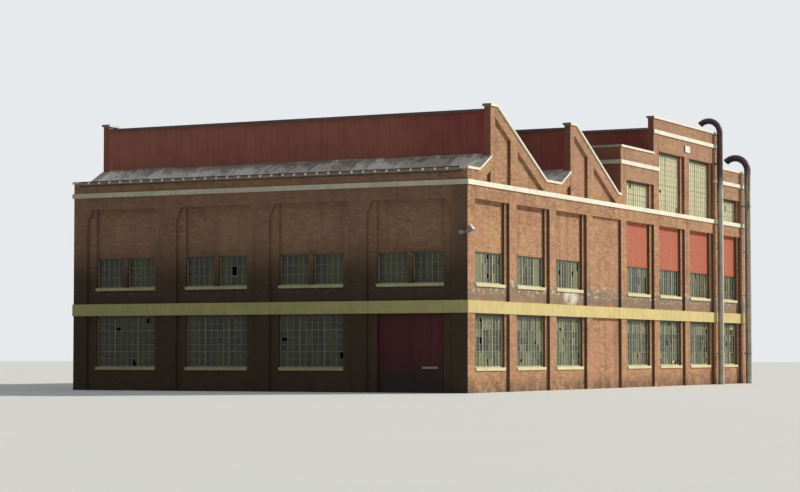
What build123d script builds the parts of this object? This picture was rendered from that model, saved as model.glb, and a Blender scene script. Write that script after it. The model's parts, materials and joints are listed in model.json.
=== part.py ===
from build123d import *

import os
from math import cos, radians, sin

# Brick factory, two storeys under a saw-tooth roof, with a monitor block at the right end.
# Millimetres, +Z up. The long sunlit front faces -Y, and the shaded end with the door faces -X.
# The origin is on the ground, in the middle of the plan.

# Bays along the front
saw_pitch = 4280.0
saw_bays = 4
monitor_pitch = 4430.0
monitor_bays = 4
corner_pier = 700.0
pilaster_width = 720.0
corner_saving = 160.0

# Bays along the ends
end_pitch = 4620.0
end_bays = 4

# Walls
pilaster_step = 120.0
wall_core = 350.0
upper_core = 170.0
infill_set = 110.0
nib_front = 250.0
nib_monitor = 320.0
nib_end = 420.0

# Heights, each one measured up from the one before
ground_sill = 1020.0
ground_window = 2220.0
band_high = 510.0
spandrel_high = 710.0
upper_window = 1290.0
infill_high = 2130.0
frieze_high = 540.0
belt_high = 200.0
wing_window = 1220.0
wing_frieze = 710.0
wing_parapet = 900.0
tall_window = 2930.0
tall_frieze = 830.0
tall_parapet = 840.0

# Stone
band_out = 40.0
belt_out = 60.0
coping_out = 60.0
coping_thick = 100.0
strip_high = 190.0
sill_high = 130.0
sill_out = 60.0
sill_deep = 240.0
piece_gap = 0.3
key_stone_high = 330.0
key_stone_lift = 250.0

# Saw teeth, measured from the left end of the front
tooth_start = 190.0
rise_foot = 900.0
rise_head = 2050.0
peak_flat = 650.0
slope_run = 5150.0
valley_lift = 530.0
rise_high = 610.0
peak_high = 2750.0
panel_margin = 640.0
panel_pier = 450.0
panel_width = 1570.0
panel_gap = 740.0

# Roofs and floors
roof_drop = 220.0
deck_thick = 100.0
clad_thick = 200.0
ridge_out = 80.0
floor_thick = 250.0
ground_floor_top = 100.0
wing_roof_drop = 450.0
nave_roof_drop = 570.0
nave_eaves = 50.0

# Windows
frame_wide = 55.0
frame_deep = 60.0
glass_thick = 12.0
upper_window_set = 30.0
end_mullion = 200.0
haunch_wide = 250.0
haunch_high = 550.0

# Door in the left end
door_post = 90.0
door_thick = 50.0
door_frame_deep = 110.0
door_side_gap = 12.0
door_foot_gap = 15.0
door_meet_gap = 10.0
door_stile = 130.0
door_panel_set = 12.0
pin_radius = 12.0
pin_fit = 0.3
barrel_wall = 7.0
pin_high = 85.0
hinge_seat_gap = 1.0
pad_long = 60.0
pin_out = 26.0
strap_long = 560.0
strap_high = 70.0
strap_thick = 8.0
hinge_count = 3
pull_height = 1020.0
pull_long = 700.0
pull_thick = 45.0
pull_out = 70.0
pull_end = 210.0

# Gutter along the eaves of the left end
gutter_wide = 130.0
gutter_high = 120.0
gutter_skin = 8.0
gutter_drop = 50.0
strap_pitch = 545.0
strap_wide = 100.0
strap_lip = 75.0

# Ducts on the front
tall_duct_radius = 160.0
tall_duct_out = 260.0
tall_duct_bend = 630.0
tall_duct_rise = 780.0
low_duct_radius = 185.0
low_duct_out = 320.0
low_duct_bend = 710.0
low_duct_rise = 965.0
duct_turn = 134.0
collar_thick = 10.0
collar_high = 60.0

# Lamp on an arm that comes round the near corner from a box on the left end
lamp_lift = 720.0
lamp_out = 105.0
lamp_arm = 245.0
lamp_radius = 160.0
lamp_neck = 85.0
lamp_long = 320.0
lamp_tilt = 40.0
lamp_tube = 30.0
lamp_box = 160.0
lamp_box_in = 150.0

os.makedirs("parts", exist_ok=True)


def front_pilaster(number):
    saw = min(number, saw_bays)
    beyond = number - saw
    return saw * saw_pitch - corner_saving + beyond * monitor_pitch


ground_head = ground_sill + ground_window
band_top = ground_head + band_high
upper_sill = band_top + spandrel_high
upper_head = upper_sill + upper_window
infill_top = upper_head + infill_high
belt_low = infill_top + frieze_high
belt_top = belt_low + belt_high
wing_head = belt_top + wing_window
wing_band = wing_head + wing_frieze
wing_top = wing_band + wing_parapet
tall_head = belt_top + tall_window
tall_band = tall_head + tall_frieze
tall_top = tall_band + tall_parapet
valley_top = belt_top + valley_lift
rise_top = valley_top + rise_high
peak_top = valley_top + peak_high

front_bays = saw_bays + monitor_bays
length = front_pilaster(front_bays) + pilaster_width
front_piers = [(0, corner_pier)]
for number in range(1, front_bays + 1):
    edge = front_pilaster(number)
    front_piers.append((edge, edge + pilaster_width))

end_field = end_pitch - pilaster_width
depth = 2 * corner_pier + end_bays * end_field + (end_bays - 1) * pilaster_width
end_piers = [(0, corner_pier)]
for number in range(1, end_bays):
    edge = corner_pier + number * end_pitch - pilaster_width
    end_piers.append((edge, edge + pilaster_width))
end_piers.append((depth - corner_pier, depth))

wall_depth = pilaster_step + wall_core
upper_depth = pilaster_step + upper_core
monitor_left = front_pilaster(saw_bays)
tall_left = front_pilaster(saw_bays + 1)
tall_right = front_pilaster(front_bays - 1) + pilaster_width

x_left = -length / 2
x_right = length / 2
y_front = -depth / 2
y_back = depth / 2

# Each face has its plane: X along the wall, Y up and Z outwards.
front = Plane(origin=(x_left, y_front, 0), x_dir=(1, 0, 0), z_dir=(0, -1, 0))
left = Plane(origin=(x_left, y_back, 0), x_dir=(0, -1, 0), z_dir=(-1, 0, 0))
right = Plane(origin=(x_right, y_front, 0), x_dir=(0, 1, 0), z_dir=(1, 0, 0))


def panel(start, end, low, high):
    with Locations(((start + end) / 2, (low + high) / 2)):
        Rectangle(end - start, high - low)


def block(x0, x1, y0, y1, z0, z1):
    with Locations((x_left + (x0 + x1) / 2, y_front + (y0 + y1) / 2, (z0 + z1) / 2)):
        Box(x1 - x0, y1 - y0, z1 - z0)


def save(builder, name):
    builder.part.label = name
    export_step(builder.part, f"parts/{name}.step")


def clipped(spans, start, end):
    return [(max(a, start), min(b, end)) for a, b in spans if b > start and a < end]


def fields(piers):
    return [(piers[i][1], piers[i + 1][0]) for i in range(len(piers) - 1)]


def inset(span, nib):
    return span[0] + nib, span[1] - nib


# Openings of each face, as (start, end, low, high)
front_fields = fields(front_piers)
end_fields = fields(end_piers)
saw_openings = [inset(span, nib_front) for span in front_fields[:saw_bays - 1]]
monitor_openings = [inset(span, nib_monitor) for span in front_fields[saw_bays:]]
front_openings = saw_openings + monitor_openings
end_openings = [inset(span, nib_end) for span in end_fields]
door_span = end_openings[-1]

front_ground = [(a, b, ground_sill, ground_head) for a, b in front_openings]
front_upper = [(a, b, upper_sill, upper_head) for a, b in front_openings]
front_high = []
for index, (a, b) in enumerate(monitor_openings):
    middle = 0 < index < monitor_bays - 1
    front_high.append((a, b, belt_top, tall_head if middle else wing_head))


def pair(span, low, high):
    middle = (span[0] + span[1]) / 2
    return [
        (span[0], middle - end_mullion / 2, low, high),
        (middle + end_mullion / 2, span[1], low, high),
    ]


left_ground = [(a, b, ground_sill, ground_head) for a, b in end_openings[:-1]]
right_ground = [(a, b, ground_sill, ground_head) for a, b in end_openings]
end_upper = []
right_high = []
for span in end_openings:
    end_upper += pair(span, upper_sill, upper_head)
    right_high.append((span[0], span[1], belt_top, wing_head))


def haunches(span, head):
    for a, b in fields(clipped(end_piers, *span)):
        for edge, side in ((a, 1), (b, -1)):
            corner = (edge, head)
            Polygon(corner, (edge, head - haunch_high), (edge + side * haunch_wide, head),
                    align=None)


def brick_wall(face, span, levels, piers, head, openings, core=wall_core, corbelled=False):
    low, high = levels
    with BuildPart() as wall:
        with BuildSketch(face.offset(-pilaster_step)):
            panel(span[0], span[1], low, high)
        extrude(amount=-core)
        with BuildSketch(face):
            for a, b in clipped(piers, *span):
                panel(a, b, low, head)
            if head < high:
                panel(span[0], span[1], head, high)
            if corbelled:
                haunches(span, head)
        extrude(amount=-pilaster_step)
        for depth_in, cuts in openings:
            if cuts:
                with BuildSketch(face):
                    for cut in cuts:
                        panel(*cut)
                extrude(amount=-depth_in, mode=Mode.SUBTRACT)
    return wall


def sill_slots(windows):
    return [(a, b, low - sill_high, low) for a, b, low, high in windows]


def infill_pockets(windows):
    return [(a, b, upper_head, infill_top) for a, b, low, high in windows]


inner_front = wall_depth
inner_back = depth - wall_depth
through = wall_depth
pocket = pilaster_step + infill_set
sill_back = pilaster_step - sill_out + sill_deep

# Ground storey
ground_levels = (0, ground_head)
whole_front = (0, length)
between_walls = (inner_front, inner_back)

front_ground_wall = brick_wall(
    front, whole_front, ground_levels, front_piers, ground_head,
    [(through, front_ground), (sill_back, sill_slots(front_ground))],
)
with BuildPart() as back_ground_wall:
    mirror(front_ground_wall.part, about=Plane.XZ)

right_ground_wall = brick_wall(
    right, between_walls, ground_levels, end_piers, ground_head,
    [(through, right_ground), (sill_back, sill_slots(right_ground))],
)
left_ground_wall = brick_wall(
    left, (inner_front, door_span[0]), ground_levels, end_piers, ground_head,
    [(through, left_ground), (sill_back, sill_slots(left_ground))],
)
left_corner_pier = brick_wall(
    left, (door_span[1], inner_back), ground_levels, end_piers, ground_head, [],
)

with BuildPart() as lintel_band:
    block(-band_out, length + band_out, -band_out, wall_depth, ground_head, band_top)
    block(-band_out, length + band_out, inner_back, depth + band_out, ground_head, band_top)
    for x0 in (-band_out, length - wall_depth):
        block(x0, x0 + wall_depth + band_out, inner_front + piece_gap,
              inner_back - piece_gap, ground_head, band_top)

# Upper storey
upper_levels = (band_top, belt_low)
saw_upper = front_upper[:saw_bays - 1]
monitor_upper = front_upper[saw_bays - 1:]
painted = infill_pockets(monitor_upper)
front_upper_wall = brick_wall(
    front, whole_front, upper_levels, front_piers, infill_top,
    [(through, front_upper + painted), (pocket, infill_pockets(saw_upper)),
     (sill_back, sill_slots(front_upper))],
)
back_upper_base = brick_wall(
    front, whole_front, upper_levels, front_piers, infill_top,
    [(through, front_upper), (pocket, infill_pockets(front_upper)),
     (sill_back, sill_slots(front_upper))],
)
with BuildPart() as back_upper_wall:
    mirror(back_upper_base.part, about=Plane.XZ)

end_sills = [(a, b, upper_sill, upper_head) for a, b in end_openings]
end_cuts = [(through, end_upper), (pocket, infill_pockets(end_sills)),
            (sill_back, sill_slots(end_sills))]
left_upper_wall = brick_wall(
    left, between_walls, upper_levels, end_piers, infill_top, end_cuts, corbelled=True)
right_upper_wall = brick_wall(
    right, between_walls, upper_levels, end_piers, infill_top, end_cuts, corbelled=True)

with BuildPart() as painted_infills:
    with BuildSketch(front.offset(-pocket)):
        for infill in painted:
            panel(*infill)
    extrude(amount=-(wall_depth - pocket))

with BuildPart() as stone_belt:
    block(-belt_out, length + belt_out, -belt_out, wall_depth, belt_low, belt_top)
    block(-belt_out, length + belt_out, inner_back, depth + belt_out, belt_low, belt_top)
    for x0 in (-belt_out, length - wall_depth):
        block(x0, x0 + wall_depth + belt_out, inner_front + piece_gap,
              inner_back - piece_gap, belt_low, belt_top)

# Floors
inner_right = length - wall_depth
with BuildPart() as ground_floor:
    block(wall_depth, inner_right, inner_front, inner_back, 0, ground_floor_top)
with BuildPart() as upper_floor:
    block(wall_depth, inner_right, inner_front, inner_back, band_top - floor_thick, band_top)
with BuildPart() as third_floor:
    block(monitor_left, inner_right, inner_front, inner_back, belt_low - floor_thick, belt_low)

# Saw-tooth outline, from the left end to the monitor block
tooth_pitch = saw_pitch * saw_bays / 2
tooth_count = saw_bays // 2
teeth = []
for number in range(tooth_count):
    base = tooth_start + number * tooth_pitch
    teeth.append({
        "foot": base + rise_foot,
        "wall": base + rise_head,
        "flat": base + rise_head + peak_flat,
        "end": base + rise_head + peak_flat + slope_run,
    })
slope_rate = (peak_top - valley_top) / slope_run
rise_rate = (rise_top - valley_top) / (rise_head - rise_foot)


def runs(drop, left_edge, overhang):
    # The stretches of the outline between its upright jumps, lowered by drop.
    pieces = []
    points = [(left_edge, valley_top - drop)]
    for tooth in teeth:
        points += [(tooth["foot"], valley_top - drop), (tooth["wall"], rise_top - drop)]
        pieces.append(points)
        points = [
            (tooth["wall"] - overhang, peak_top - drop),
            (tooth["flat"], peak_top - drop),
            (tooth["end"], valley_top - drop),
        ]
    points.append((monitor_left, valley_top - drop))
    pieces.append(points)
    return pieces


def gable_wall():
    with BuildPart() as gable:
        outline = [(0, belt_top)]
        for points in runs(coping_thick, 0, 0):
            outline += points
        outline += [(monitor_left, belt_top), (0, belt_top)]
        with BuildSketch(front):
            with BuildLine():
                Polyline(*outline)
            make_face()
        extrude(amount=-upper_depth)
        with BuildSketch(front):
            for tooth in teeth:
                wall = tooth["wall"]
                under_rise = rise_top - panel_margin - belt_top
                Polygon(
                    (wall - under_rise / rise_rate, belt_top),
                    (wall, belt_top),
                    (wall, belt_top + under_rise),
                    align=None,
                )

                def under_slope(x, flat=tooth["flat"]):
                    return peak_top - (x - flat) * slope_rate - panel_margin

                start = wall + panel_pier
                end = start + panel_width
                Polygon(
                    (start, belt_top), (end, belt_top),
                    (end, under_slope(end)), (start, under_slope(start)), align=None,
                )
                start = end + panel_gap
                end = tooth["flat"] + (peak_top - panel_margin - belt_top) / slope_rate
                Polygon(
                    (start, belt_top), (end, belt_top), (start, under_slope(start)), align=None,
                )
        extrude(amount=-pilaster_step, mode=Mode.SUBTRACT)
    return gable


front_gables = gable_wall()
with BuildPart() as back_gables:
    mirror(front_gables.part, about=Plane.XZ)

# Walls of the monitor block above the belt
wing_wall_top = wing_top - coping_thick
tall_wall_top = tall_top - coping_thick
high_piers = clipped(front_piers, monitor_left, length)
with BuildPart() as front_monitor_wall:
    with BuildSketch(front.offset(-pilaster_step)):
        panel(monitor_left, length, belt_top, wing_wall_top)
        panel(tall_left, tall_right, belt_top, tall_wall_top)
    extrude(amount=-upper_core)
    with BuildSketch(front):
        panel(monitor_left, length, wing_head, wing_wall_top)
        panel(tall_left, tall_right, wing_head, tall_wall_top)
        for a, b in high_piers:
            panel(a, b, belt_top, wing_head)
        for a, b in front_fields[saw_bays + 1:front_bays - 1]:
            with Locations(((a + b) / 2, (belt_top + tall_head) / 2)):
                Rectangle(b - a, tall_head - belt_top, mode=Mode.SUBTRACT)
    extrude(amount=-pilaster_step)
    with BuildSketch(front):
        for window in front_high:
            panel(*window)
    extrude(amount=-upper_depth, mode=Mode.SUBTRACT)
with BuildPart() as back_monitor_wall:
    mirror(front_monitor_wall.part, about=Plane.XZ)

high_span = (upper_depth, depth - upper_depth)
right_monitor_wall = brick_wall(
    right, high_span, (belt_top, wing_wall_top), end_piers, wing_head,
    [(upper_depth, right_high)], upper_core,
)
with BuildPart() as left_monitor_wall:
    block(monitor_left, monitor_left + upper_depth, upper_depth + piece_gap,
          depth - upper_depth - piece_gap, belt_top, wing_wall_top)

deck_top = valley_top - roof_drop
with BuildPart() as left_eaves:
    block(0, upper_depth, upper_depth, depth - upper_depth, belt_top, deck_top)

# Roof decks between the gables, and the inset of what is as high as the copings
sheet_inset = coping_out + piece_gap
deck_plane = front.offset(-upper_depth)
deck_long = depth - 2 * upper_depth


def layer(points, thick):
    Polygon(*points, *[(x, z - thick) for x, z in reversed(points)], align=None)


deck_runs = runs(roof_drop, upper_depth, ridge_out)
with BuildPart() as valley_roofs:
    with BuildSketch(deck_plane):
        for points in deck_runs[1:]:
            layer(points[2:4], deck_thick)
    extrude(amount=-deck_long)

# The sheet over the rises is level with the copings, and the first one runs out to the eaves.
sheet_runs = runs(0, 0, 0)
with BuildPart() as rise_roofs:
    with BuildSketch(deck_plane.offset(-sheet_inset)):
        for points in sheet_runs[:-1]:
            if points[0][0] == 0:
                layer(points, roof_drop)
            else:
                layer(points[-2:], roof_drop + deck_thick)
    extrude(amount=-(deck_long - 2 * sheet_inset))
with BuildPart() as saw_roofs:
    with BuildSketch(deck_plane):
        for points in deck_runs[1:]:
            layer(points[:3], deck_thick)
    extrude(amount=-deck_long)
with BuildPart() as light_walls:
    for tooth in teeth:
        block(tooth["wall"], tooth["wall"] + clad_thick, upper_depth, depth - upper_depth,
              rise_top - roof_drop - deck_thick, peak_top - roof_drop - deck_thick)

wing_roof_top = wing_top - wing_roof_drop
nave_roof_top = tall_top - nave_roof_drop
with BuildPart() as wing_roofs:
    for x0, x1 in ((monitor_left + upper_depth, tall_left), (tall_right, length - upper_depth)):
        block(x0, x1, upper_depth, depth - upper_depth, wing_roof_top - deck_thick, wing_roof_top)
nave_deck_low = nave_roof_top - deck_thick
with BuildPart() as clerestory_walls:
    for x0 in (tall_left, tall_right - clad_thick):
        block(x0, x0 + clad_thick, upper_depth, depth - upper_depth,
              wing_roof_top - deck_thick, nave_deck_low)
with BuildPart() as nave_roof:
    block(tall_left - nave_eaves, tall_right + nave_eaves, upper_depth, depth - upper_depth,
          nave_deck_low, nave_roof_top)

# Copings
coping_plane = front.offset(coping_out)
coping_deep = upper_depth + 2 * coping_out


def coping_stones(points):
    # One stone for each straight stretch, with an upright hairline joint between two stones.
    joint = piece_gap / 2
    for (x0, z0), (x1, z1) in zip(points, points[1:]):
        lift = (z1 - z0) / (x1 - x0) * joint
        layer([(x0 + joint, z0 + lift), (x1 - joint, z1 - lift)], coping_thick)


with BuildPart() as stone_copings:
    with BuildSketch(coping_plane):
        for points in runs(0, -coping_out, coping_out):
            coping_stones(points)
        panel(tall_left - coping_out, tall_right + coping_out, tall_wall_top, tall_top)
        panel(monitor_left, tall_left, wing_wall_top, wing_top)
        panel(tall_right, length + coping_out, wing_wall_top, wing_top)
    extrude(amount=-coping_deep)
    mirror(about=Plane.XZ)
    side_low = upper_depth + coping_out + piece_gap
    side_high = depth - side_low
    for x0 in (monitor_left, length - upper_depth - coping_out):
        block(x0, x0 + upper_depth + coping_out, side_low, side_high, wing_wall_top, wing_top)

# Stone strips on the monitor block
strip_runs = (
    (monitor_left - belt_out, tall_left + pilaster_width, wing_band),
    (tall_right - pilaster_width, length + belt_out, wing_band),
    (tall_left - belt_out, tall_right + belt_out, tall_band),
)
with BuildPart() as monitor_bands:
    for x0, x1, low in strip_runs:
        block(x0, x1, -belt_out, 0, low, low + strip_high)
    mirror(about=Plane.XZ)
    block(monitor_left - belt_out, monitor_left, piece_gap, depth - piece_gap,
          wing_band, wing_band + strip_high)
    block(length, length + belt_out, piece_gap, depth - piece_gap,
          wing_band, wing_band + strip_high)

# Stone on the pilaster between the two tall windows
with BuildPart() as key_stones:
    key_left = front_pilaster(saw_bays + monitor_bays // 2)
    key_low = tall_head + key_stone_lift
    block(key_left, key_left + pilaster_width, -belt_out, 0, key_low, key_low + key_stone_high)
    mirror(about=Plane.XZ)

# Sills
with BuildPart() as window_sills:
    with BuildSketch(front.offset(sill_out - pilaster_step)):
        for slot in sill_slots(front_ground + front_upper):
            panel(*slot)
    extrude(amount=-sill_deep)
    mirror(about=Plane.XZ)
    for face, windows in ((left, left_ground + end_sills), (right, right_ground + end_sills)):
        with BuildSketch(face.offset(sill_out - pilaster_step)):
            for slot in sill_slots(windows):
                panel(*slot)
        extrude(amount=-sill_deep)

# Windows
ground_set = pilaster_step + infill_set
upper_set = ground_set + upper_window_set


def frames(*rows):
    with BuildPart() as rings:
        for face, windows, set_back in rows:
            with BuildSketch(face.offset(-set_back)):
                for window in windows:
                    panel(*window)
                for a, b, low, high in windows:
                    with Locations(((a + b) / 2, (low + high) / 2)):
                        Rectangle(b - a - 2 * frame_wide, high - low - 2 * frame_wide,
                                  mode=Mode.SUBTRACT)
            extrude(amount=-frame_deep)
    return rings


def panes(*rows):
    with BuildPart() as sheets:
        for face, windows, set_back in rows:
            with BuildSketch(face.offset(-set_back - (frame_deep - glass_thick) / 2)):
                for a, b, low, high in windows:
                    panel(a + frame_wide, b - frame_wide, low + frame_wide, high - frame_wide)
            extrude(amount=-glass_thick)
    return sheets


front_rows = ((front, front_ground + front_high, ground_set), (front, front_upper, upper_set))
right_rows = ((right, right_ground + right_high, ground_set), (right, end_upper, upper_set))
left_ground_row = (left, left_ground, ground_set)
left_upper_row = (left, end_upper, upper_set)

front_window_frames = frames(*front_rows)
front_glass = panes(*front_rows)
with BuildPart() as back_window_frames:
    mirror(front_window_frames.part, about=Plane.XZ)
with BuildPart() as back_glass:
    mirror(front_glass.part, about=Plane.XZ)
right_window_frames = frames(*right_rows)
right_glass = panes(*right_rows)
left_window_frames = frames(left_ground_row, left_upper_row)
left_ground_glass = panes(left_ground_row)
left_upper_glass = panes(left_upper_row)

# Gutter on the left eaves
gutter_top = valley_top - gutter_drop
with BuildPart() as eaves_gutter:
    gutter_ends = (upper_depth + sheet_inset, depth - upper_depth - sheet_inset)
    block(-gutter_wide, 0, *gutter_ends, gutter_top - gutter_high, gutter_top)
    with Locations((x_left - gutter_wide / 2, 0, gutter_top - gutter_high / 2 + gutter_skin)):
        Box(gutter_wide - 2 * gutter_skin, gutter_ends[1] - gutter_ends[0] - 2 * gutter_skin,
            gutter_high, mode=Mode.SUBTRACT)
    strap_total = int((gutter_ends[1] - gutter_ends[0]) // strap_pitch)
    with Locations((x_left - (gutter_wide + gutter_skin) / 2, 0, gutter_top + gutter_skin / 2)):
        with GridLocations(0, strap_pitch, 1, strap_total):
            Box(gutter_wide + gutter_skin, strap_wide, gutter_skin)
    with Locations((x_left - gutter_wide - gutter_skin / 2, 0, gutter_top - strap_lip / 2)):
        with GridLocations(0, strap_pitch, 1, strap_total):
            Box(gutter_skin, strap_wide, strap_lip)


# Ducts, each with a collar in the middle of every stage of the wall
def duct(centre, top, radius, bend, out, stages):
    straight = top - radius - bend
    foot = (x_left + centre, y_front - out, 0)
    route = Plane(origin=foot, x_dir=(0, 1, 0), z_dir=(1, 0, 0))
    with BuildPart() as pipe:
        with BuildLine(route) as path:
            Line((0, 0), (0, straight))
            CenterArc((bend, straight), bend, 180, -duct_turn)
        with BuildSketch(Plane(origin=foot)):
            Circle(radius)
        sweep(path=path.line)
        for low, high in stages:
            height = (low + high) / 2
            with Locations((x_left + centre, y_front - out, height)):
                Cylinder(radius + collar_thick, collar_high)
            arm = out - radius
            with Locations((x_left + centre, y_front - arm / 2, height)):
                Box(collar_high, arm, collar_high)
    return pipe


low_stages = [(0, ground_head), (band_top, upper_head), (upper_head, belt_low),
              (belt_top, wing_band)]
tall_stage = (wing_band + strip_high, tall_band)
duct_tall = duct(tall_right - pilaster_width / 2, tall_top + tall_duct_rise,
                 tall_duct_radius, tall_duct_bend, tall_duct_out, [*low_stages, tall_stage])
duct_low = duct(length - pilaster_width / 2, wing_top + low_duct_rise,
                low_duct_radius, low_duct_bend, low_duct_out, low_stages)

# Lamp on the near corner
lamp_height = upper_head + lamp_lift
with BuildPart() as corner_lamp:
    lamp_x = x_left - lamp_out
    box_y = y_front + lamp_box_in + lamp_box / 2
    with Locations((lamp_x, box_y, lamp_height)):
        Box(2 * lamp_out, lamp_box, lamp_box)
    with Locations((lamp_x, box_y - lamp_arm / 2, lamp_height)):
        Box(lamp_tube, lamp_arm, lamp_tube)
    tilt = radians(lamp_tilt)
    lamp_axis = Plane(origin=(lamp_x, box_y - lamp_arm, lamp_height),
                      x_dir=(1, 0, 0), z_dir=(0, -cos(tilt), sin(tilt)))
    with BuildSketch(lamp_axis):
        Circle(lamp_neck)
    with BuildSketch(lamp_axis.offset(lamp_long)):
        Circle(lamp_radius)
    loft()

# Door: frame with pintles, and two leaves that swing outwards
door_face = left.offset(-ground_set)
door_low, door_high = door_foot_gap, ground_head - door_post - door_side_gap
hinge_heights = [door_low + (door_high - door_low) * (i + 0.5) / hinge_count
                 for i in range(hinge_count)]
barrel_radius = pin_radius + pin_fit + barrel_wall
post_edges = (door_span[0] + door_post, door_span[1] - door_post)
pin_lines = (post_edges[0] + door_side_gap / 2, post_edges[1] - door_side_gap / 2)

with BuildPart() as door_frame:
    with BuildSketch(door_face):
        panel(door_span[0], door_span[1], 0, ground_head)
        with Locations((sum(door_span) / 2, (ground_head - door_post) / 2)):
            Rectangle(post_edges[1] - post_edges[0], ground_head - door_post, mode=Mode.SUBTRACT)
    extrude(amount=-door_frame_deep)
    for pin_line, side in zip(pin_lines, (-1, 1)):
        post_edge = pin_line + side * door_side_gap / 2
        pad_end = pin_line + side * pad_long
        for height in hinge_heights:
            seat = height - strap_high / 2 - hinge_seat_gap
            with Locations(door_face * Location((pin_line, seat + pin_high / 2, pin_out))):
                Cylinder(pin_radius, pin_high, rotation=(90, 0, 0))
            with BuildSketch(door_face.offset(pin_out - pin_radius)):
                panel(*sorted((pin_line - side * pin_radius, pad_end)), seat - strap_high, seat)
            extrude(amount=2 * pin_radius)
            with BuildSketch(door_face):
                panel(*sorted((post_edge, pad_end)), seat - strap_high, seat)
            extrude(amount=pin_out - pin_radius)


def door_leaf(pin_line, side):
    edge = pin_line - side * door_side_gap / 2
    meet = sum(door_span) / 2 + side * door_meet_gap / 2
    start, end = min(edge, meet), max(edge, meet)
    with BuildPart() as leaf:
        with BuildSketch(door_face):
            panel(start, end, door_low, door_high)
        extrude(amount=-door_thick)
        with BuildSketch(door_face):
            middle = (door_low + door_high) / 2
            panel(start + door_stile, end - door_stile, door_low + door_stile,
                  middle - door_stile / 2)
            panel(start + door_stile, end - door_stile, middle + door_stile / 2,
                  door_high - door_stile)
        extrude(amount=-door_panel_set, mode=Mode.SUBTRACT)
        for height in hinge_heights:
            low, high = height - strap_high / 2, height + strap_high / 2
            for reach, thick in ((strap_long, strap_thick), (pad_long, pin_out)):
                far = pin_line - side * reach
                with BuildSketch(door_face):
                    panel(*sorted((pin_line, far)), low, high)
                extrude(amount=thick)
            with Locations(door_face * Location((pin_line, height, pin_out))):
                Cylinder(barrel_radius, strap_high, rotation=(90, 0, 0))
                Cylinder(pin_radius + pin_fit, strap_high, rotation=(90, 0, 0),
                         mode=Mode.SUBTRACT)
    return leaf


door_leaf_back = door_leaf(pin_lines[0], -1)
door_leaf_front = door_leaf(pin_lines[1], 1)

# Pull bar on the front leaf
with BuildPart() as door_pull:
    pull_far = pin_lines[1] - pull_end
    bar_out = pull_out - pull_thick
    with BuildSketch(door_face.offset(bar_out)):
        panel(pull_far - pull_long, pull_far, pull_height - pull_thick,
              pull_height + pull_thick)
    extrude(amount=pull_thick)
    with BuildSketch(door_face.offset(-door_panel_set)):
        for end in (pull_far - pull_long, pull_far - pull_thick):
            panel(end, end + pull_thick, pull_height - pull_thick, pull_height + pull_thick)
    extrude(amount=door_panel_set + bar_out)

for builder, name in (
    (ground_floor, "ground_floor"),
    (upper_floor, "upper_floor"),
    (third_floor, "third_floor"),
    (front_ground_wall, "front_ground_wall"),
    (back_ground_wall, "back_ground_wall"),
    (right_ground_wall, "right_ground_wall"),
    (left_ground_wall, "left_ground_wall"),
    (left_corner_pier, "left_corner_pier"),
    (lintel_band, "lintel_band"),
    (front_upper_wall, "front_upper_wall"),
    (back_upper_wall, "back_upper_wall"),
    (left_upper_wall, "left_upper_wall"),
    (right_upper_wall, "right_upper_wall"),
    (painted_infills, "painted_infills"),
    (stone_belt, "stone_belt"),
    (front_gables, "front_gables"),
    (back_gables, "back_gables"),
    (front_monitor_wall, "front_monitor_wall"),
    (back_monitor_wall, "back_monitor_wall"),
    (right_monitor_wall, "right_monitor_wall"),
    (left_monitor_wall, "left_monitor_wall"),
    (left_eaves, "left_eaves"),
    (eaves_gutter, "eaves_gutter"),
    (valley_roofs, "valley_roofs"),
    (rise_roofs, "rise_roofs"),
    (saw_roofs, "saw_roofs"),
    (light_walls, "light_walls"),
    (wing_roofs, "wing_roofs"),
    (clerestory_walls, "clerestory_walls"),
    (nave_roof, "nave_roof"),
    (stone_copings, "stone_copings"),
    (monitor_bands, "monitor_bands"),
    (key_stones, "key_stones"),
    (window_sills, "window_sills"),
    (front_window_frames, "front_window_frames"),
    (front_glass, "front_glass"),
    (back_window_frames, "back_window_frames"),
    (back_glass, "back_glass"),
    (right_window_frames, "right_window_frames"),
    (right_glass, "right_glass"),
    (left_window_frames, "left_window_frames"),
    (left_ground_glass, "left_ground_glass"),
    (left_upper_glass, "left_upper_glass"),
    (duct_tall, "duct_tall"),
    (duct_low, "duct_low"),
    (corner_lamp, "corner_lamp"),
    (door_frame, "door_frame"),
    (door_leaf_back, "door_leaf_back"),
    (door_leaf_front, "door_leaf_front"),
    (door_pull, "door_pull"),
):
    save(builder, name)
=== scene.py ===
import json
import math
import random
from types import SimpleNamespace

import bmesh
import bpy
from mathutils import Matrix, Vector


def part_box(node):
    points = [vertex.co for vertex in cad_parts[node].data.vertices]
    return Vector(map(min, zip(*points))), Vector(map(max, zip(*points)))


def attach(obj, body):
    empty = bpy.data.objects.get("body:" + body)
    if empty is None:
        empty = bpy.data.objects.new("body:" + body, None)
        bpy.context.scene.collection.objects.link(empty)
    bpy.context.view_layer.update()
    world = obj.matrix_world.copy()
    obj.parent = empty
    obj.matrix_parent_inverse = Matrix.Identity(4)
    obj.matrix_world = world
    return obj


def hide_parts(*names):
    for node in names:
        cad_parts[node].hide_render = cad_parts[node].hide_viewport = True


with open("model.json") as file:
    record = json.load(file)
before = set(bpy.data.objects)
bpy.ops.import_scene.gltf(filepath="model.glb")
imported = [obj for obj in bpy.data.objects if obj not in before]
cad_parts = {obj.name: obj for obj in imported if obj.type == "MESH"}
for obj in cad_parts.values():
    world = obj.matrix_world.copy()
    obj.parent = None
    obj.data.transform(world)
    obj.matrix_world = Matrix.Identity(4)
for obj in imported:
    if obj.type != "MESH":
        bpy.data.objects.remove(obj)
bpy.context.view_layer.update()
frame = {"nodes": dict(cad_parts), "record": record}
cadNodes = frame["nodes"]
scene = bpy.context.scene
print("frame loaded,", len(cadNodes), "CAD nodes")


def placed(name, data):
    item = bpy.data.objects.new(name, data)
    scene.collection.objects.link(item)
    return item


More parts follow.
